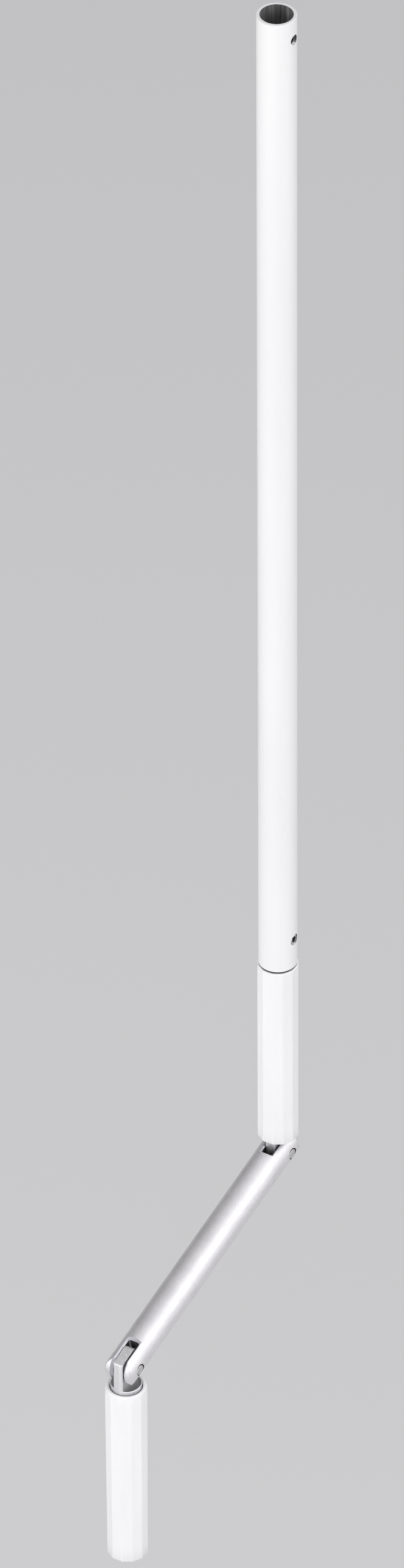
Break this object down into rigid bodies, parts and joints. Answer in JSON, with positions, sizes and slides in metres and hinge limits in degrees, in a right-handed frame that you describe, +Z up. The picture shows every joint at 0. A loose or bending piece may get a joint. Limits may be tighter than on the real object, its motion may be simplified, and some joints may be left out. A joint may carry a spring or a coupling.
{
  "type": "folding winding crank",
  "caption": "Folding winding crank: a long tube with an open socket end, turning twelve-sided grips, and a swing arm held between friction knuckles.",
  "frame": {"origin": "centre of the tube's open top end, where it slips over the winding gear's rod", "axes": "+Z up along the tube, X along the fold pins and the cross hole, arm swung out towards -Y"},
  "size_m": [0.016, 0.1289, 0.6522],
  "materials": {
    "white_paint": "smooth semi-gloss powder coat",
    "black_plastic": "matt",
    "pin_steel": "turned, bright",
    "shaft_steel": "zinc plated",
    "cast_metal": "as cast, slightly rough",
    "white_plastic": "satin moulding",
    "bush_plastic": "natural acetal",
    "bare_aluminium": "satin drawn bar"
  },
  "bodies": {
    "rod": {"upper_tube": "white_paint", "tube_end_washer": "black_plastic", "tube_spring_pin": "pin_steel", "upper_shaft": "shaft_steel", "upper_knuckle": "cast_metal", "upper_shaft_dowel": "pin_steel"},
    "upper_grip": {"upper_grip": "white_plastic", "upper_grip_bush_top": "bush_plastic", "upper_grip_bush_bottom": "bush_plastic"},
    "arm": {"crank_arm": "bare_aluminium", "upper_pivot_pin": "pin_steel", "lower_pivot_pin": "pin_steel", "upper_friction_washers": "black_plastic", "lower_friction_washers": "black_plastic"},
    "handle": {"lower_knuckle": "cast_metal", "lower_shaft": "shaft_steel", "lower_shaft_dowel": "pin_steel", "lower_retaining_washer": "pin_steel", "lower_retaining_screw": "pin_steel"},
    "lower_grip": {"lower_grip": "white_plastic", "lower_grip_bush_top": "bush_plastic", "lower_grip_bush_bottom": "bush_plastic", "lower_end_cap": "white_plastic"}
  },
  "joints": [
    {"name": "upper_grip_spin", "type": "hinge", "parent": "rod", "child": "upper_grip", "pos_m": [0, 0, -0.4828], "axis": [0, 0, 1], "continuous": true},
    {"name": "arm_fold", "type": "hinge", "parent": "rod", "child": "arm", "pos_m": [0, 0, -0.5329], "axis": [1, 0, 0], "range_deg": [-18, 172]},
    {"name": "handle_fold", "type": "hinge", "parent": "arm", "child": "handle", "pos_m": [0, -0.11303, -0.55899], "axis": [1, 0, 0], "range_deg": [-172, 18]},
    {"name": "lower_grip_spin", "type": "hinge", "parent": "handle", "child": "lower_grip", "pos_m": [0, -0.11303, -0.61069], "axis": [0, 0, 1], "continuous": true}
  ]
}
